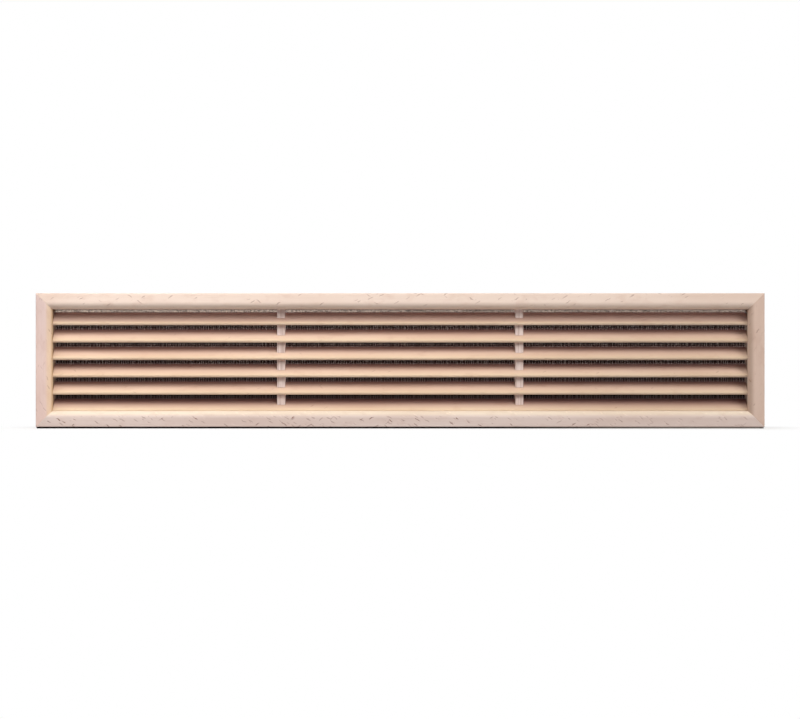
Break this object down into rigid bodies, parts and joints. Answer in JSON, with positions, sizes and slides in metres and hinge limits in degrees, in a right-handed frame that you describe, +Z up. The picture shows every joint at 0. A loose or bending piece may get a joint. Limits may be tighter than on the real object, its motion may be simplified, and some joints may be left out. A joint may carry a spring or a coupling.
{
  "type": "ventilation grille",
  "caption": "Wooden ventilation grille: mitred moulded frame with a wall flange and spigot, fixed sloping louvre slats on notched battens, and an insect net stapled across the back.",
  "frame": {"origin": "centre of the opening, on the wall plane where the back of the flange seats", "axes": "+X along the grille to the right as seen from the front, +Y into the wall, +Z up"},
  "size_m": [0.49, 0.0181, 0.09],
  "materials": {
    "frame_wood": "fine sanded, untreated beech",
    "slat_wood": "fine sanded, untreated beech",
    "batten_wood": "sawn beech",
    "net": "coated glass-fibre net",
    "steel": "galvanised wire"
  },
  "bodies": {
    "root": {"bottom_rail": "frame_wood", "insect_net": "net", "left_batten": "batten_wood", "left_stile": "frame_wood", "louvre_slat_1": "slat_wood", "louvre_slat_2": "slat_wood", "louvre_slat_3": "slat_wood", "louvre_slat_4": "slat_wood", "louvre_slat_5": "slat_wood", "louvre_slat_6": "slat_wood", "mitre_v_nails": "steel", "net_staples": "steel", "right_batten": "batten_wood", "right_stile": "frame_wood", "top_rail": "frame_wood"}
  },
  "joints": []
}
